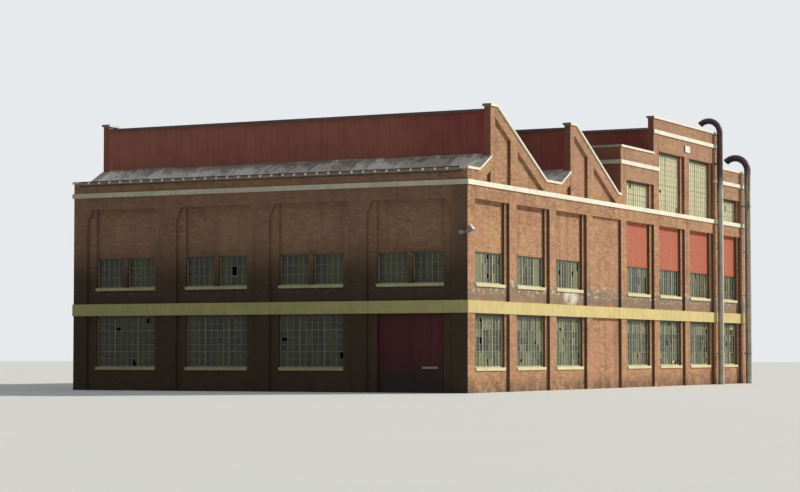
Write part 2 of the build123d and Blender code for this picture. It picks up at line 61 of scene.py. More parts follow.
# Camera: the photograph's standpoint, turned to take in the whole building
cameraSetup = {
    "place": (-98.45, -47.50, 1.55),
    "bearing": 26.9,   # degrees from +X towards +Y
    "pitch": 2.8,
    "lens": 100.0, "sensor": 36.0, "clip": (1.0, 2000.0),
}


def makeCamera():
    data = bpy.data.cameras.new("photoCamera")
    data.sensor_width = cameraSetup["sensor"]
    data.lens = cameraSetup["lens"]
    data.clip_start, data.clip_end = cameraSetup["clip"]
    camera = placed("photoCamera", data)
    bearing, pitch = math.radians(cameraSetup["bearing"]), math.radians(cameraSetup["pitch"])
    camera.location = cameraSetup["place"]
    camera.rotation_euler = (math.pi / 2 + pitch, 0, bearing - math.pi / 2)
    scene.camera = camera


makeCamera()
print("camera placed")


# Node helpers
def feed(socket, value):
    if isinstance(value, bpy.types.NodeSocket):
        socket.id_data.links.new(value, socket)
    else:
        socket.default_value = value


def shade(tree, kind, sockets=None, **settings):
    node = tree.nodes.new("ShaderNode" + kind)
    for name, value in settings.items():
        setattr(node, name, value)
    for name, value in (sockets or {}).items():
        feed(node.inputs[name], value)
    return node


def treeOf(*values):
    # The node tree that the sockets among these belong to
    return next(value.id_data for value in values if isinstance(value, bpy.types.NodeSocket))


def calc(operation, *values):
    return shade(treeOf(*values), "Math", dict(enumerate(values)), operation=operation).outputs[0]


def times(*values):
    result = values[0]
    for value in values[1:]:
        result = calc("MULTIPLY", result, value)
    return result


def larger(first, second):
    return calc("MAXIMUM", first, second)


def measure(operation, first, second):
    return shade(treeOf(first), "VectorMath", {0: first, 1: second}, operation=operation).outputs["Value"]


def mixColor(factor, *colors, mode="MIX"):
    first, second = [c if isinstance(c, bpy.types.NodeSocket) else (*c, 1.0) for c in colors]
    sockets = {0: factor, 6: first, 7: second}
    return shade(treeOf(factor, *colors), "Mix", sockets, data_type="RGBA", blend_type=mode).outputs[2]


def mixValue(factor, first, second):
    return shade(treeOf(factor), "Mix", {0: factor, 2: first, 3: second}, data_type="FLOAT").outputs[0]


def window(value, low, high, toLow=0.0, toHigh=1.0):
    sockets = dict(enumerate((value, low, high, toLow, toHigh)))
    return shade(treeOf(value), "MapRange", sockets, interpolation_type="SMOOTHSTEP").outputs[0]


def tinted(color, *tints):
    # Each tint is a mask, how much of it counts, and the colour that it brings
    for mask, amount, tint in tints:
        color = mixColor(mask if amount == 1 else times(mask, amount), color, tint)
    return color


def ramp(value, *stops):
    node = shade(treeOf(value), "ValToRGB", {"Fac": value})
    elements = node.color_ramp.elements
    while len(elements) < len(stops):
        elements.new(0.5)
    for element, (place, color) in zip(elements, stops):
        element.position = place
        element.color = (*color, 1.0)
    return node.outputs[0]


def noise(vector, scale, detail=4.0, roughness=0.55):
    sockets = {"Vector": vector, "Scale": scale, "Detail": detail, "Roughness": roughness}
    return shade(treeOf(vector), "TexNoise", sockets).outputs[0]


def stretched(vector, x, y, z):
    return shade(treeOf(vector), "Mapping", {"Vector": vector, "Scale": (x, y, z)}).outputs[0]


def surface(tree):
    # Where a point is and which way it faces; u runs along a wall and v up it,
    # and on flat roofs and tops v runs from front to back
    spot = shade(tree, "TexCoord").outputs["Object"]
    x, y, z = shade(tree, "SeparateXYZ", {"Vector": spot}).outputs
    normal = shade(tree, "NewGeometry").outputs["Normal"]
    facing = shade(tree, "SeparateXYZ", {"Vector": normal}).outputs
    onEnd = calc("GREATER_THAN", calc("ABSOLUTE", facing[0]), 0.6)
    onTop = calc("GREATER_THAN", calc("ABSOLUTE", facing[2]), 0.7)
    return {
        "spot": spot, "x": x, "y": y, "z": z,
        "u": mixValue(onEnd, x, y), "v": mixValue(onTop, z, y),
        "leftward": calc("LESS_THAN", facing[0], -0.6),
        "upward": window(facing[2], 0.3, 0.7),
    }


def makeGroup(name, inputs, outputs):
    tree = bpy.data.node_groups.new(name, "ShaderNodeTree")
    for label, start in inputs.items():
        socket = tree.interface.new_socket(name=label, in_out="INPUT", socket_type="NodeSocketFloat")
        socket.default_value = start
    for label, kind in outputs.items():
        tree.interface.new_socket(name=label, in_out="OUTPUT", socket_type=kind)
    return tree, tree.nodes.new("NodeGroupInput").outputs, tree.nodes.new("NodeGroupOutput").inputs


def useGroup(tree, group, **values):
    return shade(tree, "Group", values, node_tree=group).outputs


def makeMaterial(name, gloss=0.5):
    material = bpy.data.materials.new(name)
    material.use_nodes = True
    tree = material.node_tree
    shader = tree.nodes["Principled BSDF"].inputs
    shader["Specular IOR Level"].default_value = gloss
    return material, tree, shader


def coat(material, color, roughness, height, depth, strength=1.0):
    tree = material.node_tree
    bump = shade(tree, "Bump", {"Height": height, "Distance": depth, "Strength": strength})
    for name, value in (("Base Color", color), ("Roughness", roughness), ("Normal", bump.outputs[0])):
        feed(tree.nodes["Principled BSDF"].inputs[name], value)
    return material


valueOut = "NodeSocketFloat"
colorOut = "NodeSocketColor"


# Brickwork, shared by the bare and the painted walls
brickLook = {
    "wide": 0.213, "course": 0.0677, "joint": 0.0048,
    "fired": ((0.0, (0.30, 0.140, 0.073)), (0.15, (0.395, 0.190, 0.098)), (0.6, (0.475, 0.245, 0.125)),
              (0.88, (0.515, 0.285, 0.150)), (1.0, (0.57, 0.35, 0.20))),
    "ochre": (0.57, 0.335, 0.150), "rosy": (0.52, 0.235, 0.155), "dull": (0.30, 0.155, 0.085),
    "mortar": ((0.3, (0.31, 0.235, 0.155)), (0.7, (0.47, 0.375, 0.26))),
    "weathered": (0.31, 0.215, 0.15), "weatheredFrom": (8.7, 10.4),
    "soot": (0.115, 0.075, 0.05), "footHigh": 0.9,
    # Soot gathers from the first height up to the belt at the second
    "sootUnder": ((7.0, 8.42), (2.9, 3.24), (9.9, 10.55), (11.7, 12.38), (12.0, 13.15)),
}


def mottle(color, amount, mask, *tones):
    # Each tone is a place in the mask and how light the grey is there
    greys = ramp(mask, *((place, (grey, grey, grey)) for place, grey in tones))
    return mixColor(amount, color, greys, mode="OVERLAY")


def addSoot(at, color, patch, amount):
    height = at["z"]
    streaks = noise(stretched(at["spot"], 2.2, 2.2, 0.16), 1.0, 5.0, 0.6)
    sooty = times(window(streaks, 0.48, 0.78), amount)
    for low, top in brickLook["sootUnder"]:
        within = times(window(height, low, top), calc("LESS_THAN", height, top))
        under = times(within, window(streaks, 0.38, 0.62, 0.0, 0.55), amount)
        sooty = larger(sooty, under)
    foot = window(height, brickLook["footHigh"], 0.0)
    foot = times(foot, window(patch, 0.35, 0.6, 0.2, 0.8))
    return tinted(color, (larger(sooty, foot), 1, brickLook["soot"]))


# Lime that has bloomed on the brick over the ground storey; heights are from, full from, full to, to
limeLook = {
    "band": (3.7, 3.9, 4.3, 4.7), "fleckBand": (3.95, 4.2, 4.6, 4.7),
    "middle": (-6.6, -9.5, 4.15), "shape": (0.62, 1.0, 1.3),   # of the one white spot
    "bloomed": (0.205, 0.172, 0.125), "fleck": (0.66, 0.58, 0.48), "white": (0.86, 0.82, 0.74),
}


def addLime(at, color, amount):
    look, spot = limeLook, at["spot"]

    def within(low, lowFull, highFull, high):
        return window(at["z"], low, lowFull), window(at["z"], high, highFull)

    bloom = noise(stretched(spot, 1.0, 1.0, 1.9), 1.15, 7.0, 0.62)
    limed = times(*within(*look["band"]), window(bloom, 0.30, 0.58, 0.3, 1.0))
    limed = larger(limed, times(window(bloom, 0.62, 0.75), 0.3))
    flecks = window(noise(stretched(spot, 3.4, 3.4, 7.5), 1.0, 4.0, 0.6), 0.53, 0.64)
    flecks = times(flecks, *within(*look["fleckBand"]))
    middle = [place * scale for place, scale in zip(look["middle"], look["shape"])]
    away = measure("DISTANCE", stretched(spot, *look["shape"]), middle)
    whiter = times(window(away, 0.68, 0.30), window(bloom, 0.34, 0.50))
    return tinted(color, (limed, amount, look["bloomed"]), (flecks, amount, look["fleck"]),
                  (whiter, amount, look["white"]))


# Painted shade: brick that faces left is darkened to stand for its shade. Pairs are the places or heights
# where an effect starts and is full, in two of them with its least and most; endFrom and faceTo are places,
# and the other values amounts
shadeLook = {
    "endFrom": -17.2, "recess": (-17.66, -17.54), "faceTo": 9.45, "corner": (-7.6, -9.2),
    "low": (4.6, 2.6, 0.62, 0.82), "overBelt": (8.5, 8.7), "high": (9.1, 9.7), "deep": (6.8, 4.5, 0.0, 0.82),
    "atCorner": 0.90, "aboveBelt": 0.54, "up": 0.75, "inRecess": 0.50, "inLastRecess": 0.74,
    "dark": (0.115, 0.074, 0.050), "highDark": (0.180, 0.047, 0.032), "deepDark": (0.026, 0.021, 0.011),
}


def paintLeftShade(at, color):
    look, height = shadeLook, at["z"]
    leftEnd = calc("LESS_THAN", at["x"], look["endFrom"])
    recess = times(window(at["x"], *look["recess"]), leftEnd)
    corner = window(at["y"], *look["corner"])
    high = window(height, *look["high"])
    darker = larger(window(height, *look["low"]), times(corner, look["atCorner"]))
    darker = mixValue(window(height, *look["overBelt"]), darker, look["aboveBelt"])
    darker = mixValue(high, darker, look["up"])
    lessShadeInRecess = mixValue(corner, look["inRecess"], look["inLastRecess"])
    darker = mixValue(recess, darker, lessShadeInRecess)
    reveal = times(leftEnd, calc("LESS_THAN", calc("ABSOLUTE", at["y"]), look["faceTo"]))
    leftward = larger(at["leftward"], reveal)
    deepest = times(leftEnd, leftward, window(height, *look["deep"]))
    shaded = mixColor(high, look["dark"], look["highDark"])
    return tinted(color, (leftward, darker, shaded), (deepest, 1, look["deepDark"]))


def makeBrickwork():
    tree, given, out = makeGroup("brickwork", {"Soot": 0.5, "Lime": 0.5},
                                 {"Color": colorOut, "Roughness": valueOut, "Height": valueOut})
    look, at = brickLook, surface(tree)
    spot, height = at["spot"], at["z"]
    bricks = shade(tree, "TexBrick", {
        "Vector": shade(tree, "CombineXYZ", {"X": at["u"], "Y": at["v"]}).outputs[0],
        "Color1": (0, 0, 0, 1), "Color2": (1, 1, 1, 1), "Mortar": (0.5, 0.5, 0.5, 1), "Scale": 1.0,
        "Mortar Size": look["joint"], "Mortar Smooth": 0.3, "Bias": 0.0,
        "Brick Width": look["wide"], "Row Height": look["course"],
    }, offset=0.5, offset_frequency=2, squash=0.5, squash_frequency=6)
    joint = bricks.outputs["Fac"]
    broad = noise(spot, 0.32, 5.0)
    cloud = noise(stretched(spot, 1.0, 1.0, 0.6), 0.9, 4.0)
    patch = noise(spot, 1.7, 6.0, 0.6)
    color = tinted(ramp(bricks.outputs["Color"], *look["fired"]),
                   (window(broad, 0.38, 0.62, 0.0, 0.55), 1, look["ochre"]),
                   (window(cloud, 0.45, 0.66, 0.0, 0.6), 1, look["rosy"]),
                   (window(patch, 0.5, 0.70, 0.0, 0.42), 1, look["dull"]))
    layered = noise(stretched(spot, 1.6, 1.6, 6.5), 1.0, 5.0, 0.65)
    color = mottle(color, 0.55, layered, (0.32, 0.27), (0.68, 0.73))
    grain = noise(spot, 55.0, 3.0)
    color = mottle(color, 0.25, grain, (0.3, 0.30), (0.7, 0.75))
    color = tinted(color, (joint, 1, ramp(noise(spot, 9.0), *look["mortar"])),
                   (window(height, *look["weatheredFrom"], 0.0, 0.26), 1, look["weathered"]))
    color = addSoot(at, color, patch, given["Soot"])
    color = addLime(at, color, given["Lime"])
    # painted shade on the brick that faces left and on the foot of the left end
    feed(out["Color"], paintLeftShade(at, color))
    feed(out["Roughness"], mixValue(joint, window(grain, 0.2, 0.8, 0.72, 0.92), 0.95))
    feed(out["Height"], calc("SUBTRACT", times(grain, 0.25), joint))
    return tree


# Grime and joint lines, shared by the other finishes
def makeGrime():
    tree, given, out = makeGroup("grime", {"Scale": 1.0, "Fall": 0.15},
                                 {"Patches": valueOut, "Streaks": valueOut, "Grain": valueOut})
    spot = shade(tree, "TexCoord").outputs["Object"]
    feed(out["Patches"], window(noise(spot, given["Scale"], 7.0, 0.6), 0.4, 0.68))
    squeezed = shade(tree, "CombineXYZ", {"X": 3.0, "Y": 3.0, "Z": given["Fall"]}).outputs[0]
    falling = shade(tree, "Mapping", {"Vector": spot, "Scale": squeezed}).outputs[0]
    feed(out["Streaks"], window(noise(falling, given["Scale"], 5.0, 0.6), 0.48, 0.75))
    feed(out["Grain"], noise(spot, 42.0, 4.0))
    return tree


def makeJointing():
    # Lines across a run at one spacing, and one tone for each stretch between two lines
    tree, given, out = makeGroup("jointing", {"Spacing": 1.0, "Gap": 0.01, "Across": 0.0, "Depthwise": 0.0},
                                 {"Line": valueOut, "Tone": valueOut})
    at = surface(tree)
    along = mixValue(given["Across"], at["u"], at["v"])
    along = mixValue(given["Depthwise"], along, at["y"])
    steps = calc("DIVIDE", along, given["Spacing"])
    cell = calc("FLOOR", steps)
    into = calc("SUBTRACT", steps, cell)
    edge = calc("MINIMUM", into, calc("SUBTRACT", 1.0, into))
    gap = calc("DIVIDE", given["Gap"], given["Spacing"])
    feed(out["Line"], window(edge, gap, calc("MULTIPLY", gap, 0.3)))
    tone = shade(tree, "TexWhiteNoise", {"W": cell}, noise_dimensions="1D")
    feed(out["Tone"], tone.outputs["Value"])
    return tree


brickwork = makeBrickwork()
grime = makeGrime()
jointing = makeJointing()


# Finishes
def makeBrick():
    material, tree, _ = makeMaterial("oldBrick", 0.2)
    work = useGroup(tree, brickwork, Soot=0.5, Lime=0.8)
    return coat(material, work["Color"], work["Roughness"], work["Height"], 0.006)


redPaintLook = {
    "paint": ((0.3, (0.40, 0.080, 0.036)), (0.7, (0.52, 0.130, 0.060))), "bleached": (0.55, 0.25, 0.13),
}


def makePaintedBrick():
    material, tree, _ = makeMaterial("fadedRedPaint", 0.3)
    work = useGroup(tree, brickwork, Soot=0.3, Lime=0.2)
    marks = useGroup(tree, grime, Scale=2.4, Fall=0.12)
    peeled = window(noise(surface(tree)["spot"], 6.0, 8.0, 0.7), 0.58, 0.63)
    color = tinted(ramp(marks["Grain"], *redPaintLook["paint"]),
                   (marks["Streaks"], 0.35, redPaintLook["bleached"]), (peeled, 1, work["Color"]))
    return coat(material, color, mixValue(peeled, 0.6, 0.9), work["Height"], 0.004)


stoneLooks = {
    "whiteStone": {"base": (0.93, 0.90, 0.76), "dark": (0.75, 0.70, 0.56), "stain": (0.23, 0.20, 0.15),
                   "spacing": 1.07, "stained": 0.22, "moss": (0.46, 0.425, 0.295)},
    "creamBand": {"base": (0.70, 0.585, 0.26), "dark": (0.56, 0.43, 0.17), "stain": (0.27, 0.19, 0.09),
                  "spacing": 2.14, "stained": 0.4, "moss": (0.315, 0.335, 0.140)},
    "paleSill": {"base": (0.80, 0.72, 0.44), "dark": (0.62, 0.52, 0.27), "stain": (0.27, 0.20, 0.11),
                 "spacing": 2.14, "stained": 0.4, "moss": (0.30, 0.31, 0.16)},
}
# Tops are darker with soot and with painted shade; high faces that face left are darkened with painted shade
stoneSootAndShade = {"top": (0.25, 0.235, 0.20), "highEndShade": (0.13, 0.10, 0.08), "highFrom": (11.2, 11.7)}


def makeStone(name):
    look = stoneLooks[name]
    material, tree, _ = makeMaterial(name, 0.3)
    at = surface(tree)
    joints = useGroup(tree, jointing, Spacing=look["spacing"], Gap=0.008)
    marks = useGroup(tree, grime, Scale=1.6, Fall=0.5)
    rain = window(noise(at["spot"], 2.6, 6.0, 0.6), 0.3, 0.6, 0.55, 0.95)
    high = window(at["z"], *stoneSootAndShade["highFrom"], 0.0, 0.85)
    # Faces that face left take a greener, darker tone: moss and painted shade
    color = tinted(look["base"], (joints["Tone"], 1, [c * 0.92 for c in look["base"]]),
                   (at["leftward"], 0.94, look["moss"]), (marks["Patches"], 0.4, look["dark"]),
                   (marks["Streaks"], look["stained"], look["stain"]),
                   (window(marks["Grain"], 0.3, 0.75, 0.0, 0.2), 1, look["dark"]),
                   (at["upward"], rain, stoneSootAndShade["top"]), (joints["Line"], 0.6, look["stain"]),
                   (at["leftward"], high, stoneSootAndShade["highEndShade"]))
    height = calc("SUBTRACT", times(marks["Grain"], 0.3), joints["Line"])
    return coat(material, color, window(marks["Grain"], 0.2, 0.8, 0.7, 0.92), height, 0.006)


sheetLooks = {
    "oxideSheet": {
        "base": (0.200, 0.036, 0.029), "other": (0.270, 0.088, 0.058), "mark": (0.15, 0.060, 0.042),
        "spacing": 0.82, "gap": 0.008, "marked": 0.4, "shine": (0.55, 0.8), "metal": 0.0, "gloss": 0.3},
    "galvanisedSteel": {
        "base": (0.46, 0.47, 0.48), "other": (0.38, 0.39, 0.40), "mark": (0.24, 0.20, 0.17),
        "spacing": 2.4, "gap": 0.006, "marked": 0.45, "shine": (0.35, 0.6), "metal": 0.6, "gloss": 0.5},
}


def makeSheet(name):
    look = sheetLooks[name]
    material, tree, shader = makeMaterial(name, look["gloss"])
    joints = useGroup(tree, jointing, Spacing=look["spacing"], Gap=look["gap"])
    marks = useGroup(tree, grime, Scale=1.3, Fall=0.25)
    at = surface(tree)
    cloud = window(noise(at["spot"], 0.22, 2.0), 0.38, 0.62, -1.0, 1.0)
    faded = window(calc("ADD", at["y"], cloud), -9.6, -4.2)   # browner away from the front
    color = tinted(look["base"], (faded, 1, look["other"]), (joints["Tone"], 0.2, look["other"]),
                   (marks["Streaks"], look["marked"], look["mark"]), (joints["Line"], 0.3, look["mark"]))
    shader["Metallic"].default_value = look["metal"]
    height = calc("ADD", times(marks["Grain"], 0.15), joints["Line"])
    return coat(material, color, window(marks["Patches"], 0.0, 1.0, *look["shine"]), height, 0.008)


curbLooks = {
    "curbPale": {"base": (0.80, 0.78, 0.73), "stain": (0.22, 0.18, 0.145), "stained": 0.80},
    "curbGrey": {"base": (0.68, 0.66, 0.61), "stain": (0.17, 0.14, 0.115), "stained": 0.80},
    "curbBrown": {"base": (0.56, 0.52, 0.46), "stain": (0.13, 0.105, 0.085), "stained": 0.82},
}
# Stains grow up each rise, towards the front gable and in the valley, and the left-facing edge at the gutter
# is dark with painted shade
curbStainsAndShade = {
    "firstRise": -15.46, "pitch": 8.56, "gable": (-4.0, -8.0), "valley": (-9.0, -8.0), "gutter": -17.6,
    "rust": (0.30, 0.19, 0.12), "edge": (0.065, 0.050, 0.040),
}


def makeCurbSheet(name):
    look, places = curbLooks[name], curbStainsAndShade
    material, tree, _ = makeMaterial(name, 0.4)
    at = surface(tree)
    spot = at["spot"]
    marks = useGroup(tree, grime, Scale=3.0, Fall=1.0)
    blots = noise(stretched(spot, 1.1, 2.3, 1.1), 1.0, 7.0, 0.7)
    along = calc("DIVIDE", calc("ADD", at["x"], -places["firstRise"]), places["pitch"])
    top = window(calc("FRACT", along), 0.915, 1.0, 0.0, 0.16)
    wide = window(calc("ADD", blots, top), 0.48, 0.66)
    fine = window(noise(stretched(spot, 0.8, 9.0, 0.8), 1.0, 5.0, 0.65), 0.48, 0.70)
    stain = larger(wide, times(fine, 0.6))
    nearGable = window(at["y"], *places["gable"], 0.0, 0.34)
    stain = larger(stain, window(at["x"], *places["valley"], nearGable, 0.5))
    edge = times(at["leftward"], calc("LESS_THAN", at["x"], places["gutter"]))
    color = tinted(look["base"], (stain, look["stained"], look["stain"]),
                   (marks["Patches"], 0.22, places["rust"]), (edge, 1, places["edge"]))
    height = calc("ADD", times(marks["Grain"], 0.3), stain)
    return coat(material, color, window(stain, 0.0, 1.0, 0.5, 0.85), height, 0.003)


roofLook = {
    "felt": (0.115, 0.110, 0.105), "paler": (0.165, 0.160, 0.155), "dust": (0.24, 0.235, 0.22),
    "grit": (0.28, 0.27, 0.255), "tar": (0.045, 0.042, 0.04), "spacing": 0.92, "gap": 0.02,
}


def makeRoofing():
    look = roofLook
    material, tree, _ = makeMaterial("roofFelt", 0.3)
    joints = useGroup(tree, jointing, Spacing=look["spacing"], Gap=look["gap"], Across=1.0)
    marks = useGroup(tree, grime, Scale=0.55, Fall=1.0)
    color = tinted(look["felt"], (joints["Tone"], 1, look["paler"]), (marks["Patches"], 0.6, look["dust"]),
                   (window(marks["Grain"], 0.35, 0.75, 0.0, 0.5), 1, look["grit"]),
                   (joints["Line"], 0.8, look["tar"]))
    height = calc("ADD", times(marks["Grain"], 0.4), joints["Line"])
    return coat(material, color, mixValue(joints["Line"], 0.93, 0.55), height, 0.006)


concreteLook = {"grit": ((0.25, (0.30, 0.29, 0.27)), (0.75, (0.42, 0.41, 0.38))), "worn": (0.20, 0.19, 0.175)}


def makeConcrete():
    material, tree, _ = makeMaterial("floorConcrete")
    marks = useGroup(tree, grime, Scale=0.8, Fall=1.0)
    color = tinted(ramp(marks["Grain"], *concreteLook["grit"]),
                   (marks["Patches"], 0.6, concreteLook["worn"]))
    return coat(material, color, window(marks["Patches"], 0.0, 1.0, 0.85, 0.6), marks["Grain"], 0.003)


# Paint, paint in patches, what shows where it has flaked, and the level of noise where that starts
paintLooks = {
    "barPaint": ((0.62, 0.58, 0.40), (0.50, 0.49, 0.34), (0.17, 0.085, 0.045), 0.60),
    "highBarPaint": ((0.36, 0.36, 0.235), (0.29, 0.30, 0.20), (0.17, 0.085, 0.045), 0.62),
    # a shaded copy of the bar paint: painted shade
    "shadedBarPaint": ((0.22, 0.21, 0.14), (0.17, 0.17, 0.12), (0.12, 0.065, 0.04), 0.62),
    # near black, so that the lintel strips stand for the shadow under each head: painted shadow
    "lintelShadowPaint": ((0.050, 0.032, 0.023), (0.070, 0.047, 0.034), (0.10, 0.055, 0.03), 0.62),
    "lampGrey": ((0.27, 0.25, 0.22), (0.19, 0.18, 0.16), (0.15, 0.085, 0.055), 0.60),
    "gutterBrown": ((0.20, 0.150, 0.110), (0.25, 0.195, 0.145), (0.11, 0.065, 0.04), 0.58),
    "strapPaint": ((0.84, 0.82, 0.72), (0.72, 0.70, 0.60), (0.35, 0.22, 0.14), 0.68),
    "ridgeTrim": ((0.050, 0.040, 0.038), (0.075, 0.062, 0.055), (0.12, 0.065, 0.04), 0.62),
}


def wornPaint(tree, marks, paint, patches, under, flakesFrom):
    flaked = window(noise(surface(tree)["spot"], 7.0, 9.0, 0.68), flakesFrom, flakesFrom + 0.05)
    color = tinted(paint, (marks["Patches"], 1, patches),
                   (marks["Streaks"], 0.5, under), (flaked, 1, under))
    return color, flaked


def makePaint(name):
    material, tree, _ = makeMaterial(name, 0.4)
    marks = useGroup(tree, grime, Scale=2.2, Fall=0.35)
    color, flaked = wornPaint(tree, marks, *paintLooks[name])
    height = calc("SUBTRACT", times(marks["Grain"], 0.3), flaked)
    return coat(material, color, mixValue(flaked, 0.5, 0.9), height, 0.0015)


ductMetalLook = {
    "paint": ((0.046, 0.023, 0.035), (0.078, 0.048, 0.056), (0.17, 0.080, 0.045), 0.60),
    "bare": (0.47, 0.435, 0.345), "bareFrom": (10.9, 9.4),   # the paint is gone below the second height
    # bleached is a painted highlight on the side of the duct that faces the sun
    "bleached": (0.92, 0.90, 0.80), "sunny": (0.66, -0.75, 0.0),
}


def makeDuctMetal():
    look = ductMetalLook
    material, tree, shader = makeMaterial("ductMetal", 0.4)
    at = surface(tree)
    marks = useGroup(tree, grime, Scale=2.2, Fall=0.3)
    color, flaked = wornPaint(tree, marks, *look["paint"])
    rough = noise(stretched(at["spot"], 3.0, 3.0, 0.5), 1.0, 6.0, 0.6)
    height = calc("ADD", at["z"], window(rough, 0.3, 0.7, -1.2, 1.2))
    bare = window(height, *look["bareFrom"], 0.0, 0.85)
    normal = shade(tree, "NewGeometry").outputs["Normal"]
    # painted highlight where the duct faces the sun
    sunny = window(measure("DOT_PRODUCT", normal, look["sunny"]), 0.30, 0.75, 0.0, 0.85)
    metal = tinted(look["bare"], (marks["Patches"], 1, [c * 0.7 for c in look["bare"]]),
                   (sunny, 1, look["bleached"]))
    feed(shader["Metallic"], times(bare, 0.6))
    roughness = mixValue(bare, mixValue(flaked, 0.5, 0.85), 0.4)
    bump = calc("SUBTRACT", times(marks["Grain"], 0.3), flaked)
    return coat(material, tinted(color, (bare, 1, metal)), roughness, bump, 0.002)


doorLook = {
    "board": 0.14, "gap": 0.005, "paint": (0.072, 0.008, 0.012), "darker": (0.053, 0.007, 0.010),
    "rubbed": (0.10, 0.035, 0.032), "dirt": (0.016, 0.011, 0.010), "darkBelowFrom": (2.1, 0.6),
    "wood": (0.12, 0.095, 0.075), "gapDark": (0.012, 0.007, 0.007),
}


def makeDoorPaint():
    look = doorLook
    material, tree, _ = makeMaterial("doorPaint", 0.2)
    boards = useGroup(tree, jointing, Spacing=look["board"], Gap=look["gap"], Depthwise=1.0)
    marks = useGroup(tree, grime, Scale=2.0, Fall=0.12)
    at = surface(tree)
    low = calc("ADD", at["z"], times(marks["Grain"], 0.5))
    flaked = window(noise(at["spot"], 8.0, 9.0, 0.7), 0.64, 0.67)
    # The door is darker towards the bottom
    color = tinted(look["paint"], (boards["Tone"], 1, look["darker"]),
                   (marks["Streaks"], 0.4, look["rubbed"]),
                   (window(low, *look["darkBelowFrom"], 0.0, 0.88), 1, look["dirt"]),
                   (flaked, 1, look["wood"]), (boards["Line"], 1, look["gapDark"]))
    cracks = calc("ADD", boards["Line"], times(flaked, 0.2))
    height = calc("SUBTRACT", times(marks["Grain"], 0.2), cracks)
    return coat(material, color, mixValue(flaked, 0.5, 0.85), height, 0.004)


# Clean glass, dust on it, a tint in clouds, how dusty, roughness clean and dusty, and how clear
paneLooks = {
    "paneDark": ((0.022, 0.032, 0.018), (0.110, 0.122, 0.062), (0.050, 0.064, 0.046), 0.6, (0.08, 0.5), 0.4),
    "paneGreen": ((0.090, 0.118, 0.060), (0.18, 0.196, 0.11), (0.100, 0.155, 0.070), 0.6, (0.15, 0.55), 0.2),
    "paneDusty": ((0.175, 0.175, 0.100), (0.28, 0.265, 0.165), (0.200, 0.235, 0.135), 0.8, (0.35, 0.7), 0.0),
    "panePale": ((0.66, 0.655, 0.41), (0.71, 0.70, 0.51), (0.70, 0.60, 0.37), 0.6, (0.3, 0.65), 0.0),
    "paneYellow": ((0.64, 0.585, 0.31), (0.68, 0.64, 0.42), (0.60, 0.61, 0.43), 0.6, (0.3, 0.65), 0.0),
}
# Painted shade: panes that face left are darkened
endPaneShade = (0.050, 0.036, 0.018)   # on the panes of the left end


def makePane(name):
    clean, dust, tint, dusty, shine, clear = paneLooks[name]
    material, tree, shader = makeMaterial(name, 0.16)
    marks = useGroup(tree, grime, Scale=5.0, Fall=0.3)
    dusted = times(larger(marks["Patches"], marks["Streaks"]), dusty)
    at = surface(tree)
    clouds = window(noise(at["spot"], 0.9, 3.0), 0.44, 0.60, 0.0, 0.65)
    color = tinted(clean, (dusted, 1, dust), (clouds, 1, tint), (at["leftward"], 0.55, endPaneShade))
    shader["Transmission Weight"].default_value = clear
    waves = noise(at["spot"], 1.6, 2.0)
    return coat(material, color, window(dusted, 0.0, 1.0, *shine), waves, 0.01, 0.35)


lensLook = {"glass": ((0.3, (0.62, 0.60, 0.54)), (0.7, (0.78, 0.76, 0.70))), "shine": (0.1, 0.25)}


def makeLens():
    material, tree, _ = makeMaterial("lampLens")
    cloudy = noise(surface(tree)["spot"], 30.0, 2.0)
    roughness = window(cloudy, 0.2, 0.8, *lensLook["shine"])
    return coat(material, ramp(cloudy, *lensLook["glass"]), roughness, cloudy, 0.002)


curbSheets = [makeCurbSheet(name) for name in curbLooks]
paleSill = makeStone("paleSill")
finishes = {
    "brick": makeBrick(),
    "red_paint": makePaintedBrick(),
    "white_stone": makeStone("whiteStone"),
    "cream_band": makeStone("creamBand"),
    "oxide_cladding": makeSheet("oxideSheet"),
    "weathered_sheet": curbSheets[1],
    "galvanised": makeSheet("galvanisedSteel"),
    "roofing": makeRoofing(),
    "concrete": makeConcrete(),
    "steel_frame": makePaint("barPaint"),
    "duct_metal": makeDuctMetal(),
    "door_red": makeDoorPaint(),
    "window_glass": makePane("paneDusty"),
}
paints = {name: makePaint(name) for name in list(paintLooks)[1:]}   # barPaint is a finish
lampLens = makeLens()
paneKinds = [makePane(name) for name in paneLooks]
barKinds = [finishes["steel_frame"], paints["highBarPaint"], paints["shadedBarPaint"], paints["lintelShadowPaint"]]
plainBars, highBars, shadedBars, lintelShadows = range(len(barKinds))


def dress(node, material):
    for holder in cadNodes[node].material_slots:
        holder.material = material


for part in frame["record"]["subparts"]:
    dress(part["node"], finishes[part["material_slot"]])
dress("window_sills", paleSill)
dress("corner_lamp", paints["lampGrey"])
dress("door_pull", paints["lampGrey"])
dress("eaves_gutter", paints["gutterBrown"])
# the left frames take the shaded bar paint: painted shade
dress("left_window_frames", barKinds[shadedBars])
print("finishes on the CAD nodes")


# Mesh helpers
trimSunk = 0.001   # how far a trim reaches into what carries it


def addBox(mesh, low, high, index=0, turn=None):
    low, high = Vector(low), Vector(high)
    size = Matrix.Diagonal((*(high - low), 1))
    matrix = Matrix.Translation((low + high) / 2) @ (turn or Matrix.Identity(4)) @ size
    made = bmesh.ops.create_cube(mesh, size=1.0, matrix=matrix)
    for face in {f for vert in made["verts"] for f in vert.link_faces}:
        face.material_index = index
    return made["verts"]


def pointed(axis):
    return Vector((0, 0, 1)).rotation_difference(Vector(axis).normalized()).to_matrix().to_4x4()


def addStud(mesh, spot, axis, radius, high, sides=10):
    bmesh.ops.create_cone(mesh, cap_ends=True, segments=sides, radius1=radius, radius2=radius * 0.8,
                          depth=high, matrix=Matrix.Translation(spot) @ pointed(axis))


